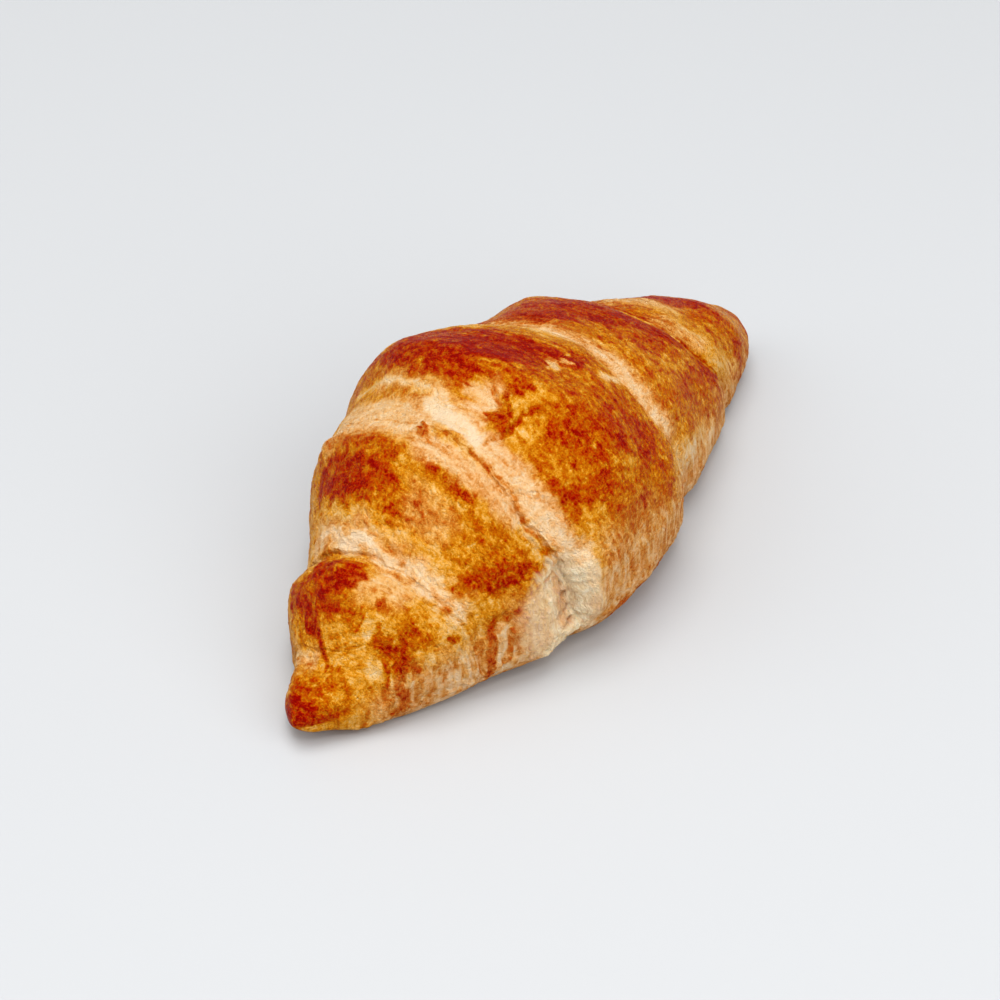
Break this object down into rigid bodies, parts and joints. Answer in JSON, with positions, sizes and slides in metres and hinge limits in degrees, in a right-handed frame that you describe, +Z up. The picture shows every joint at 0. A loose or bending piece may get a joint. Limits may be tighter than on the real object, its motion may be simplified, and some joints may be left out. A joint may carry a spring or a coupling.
{
  "type": "butter croissant",
  "caption": "Baked butter croissant: a straight rolled spindle of laminated dough with overlapping wraps, tapered tips, a torn opening low on one flank and a flat sole to rest on.",
  "frame": {"origin": "middle of the bounding box in plan, at the height of the flat sole", "axes": "+X along the roll towards its blunter tip, -Y towards the flank with the torn opening, +Z up from the sole"},
  "size_m": [0.1592, 0.0732, 0.0508],
  "materials": {
    "crust": "satin, egg-washed and unevenly browned, cream where the layers were stretched open"
  },
  "bodies": {
    "root": {"croissant": "crust"}
  },
  "joints": []
}
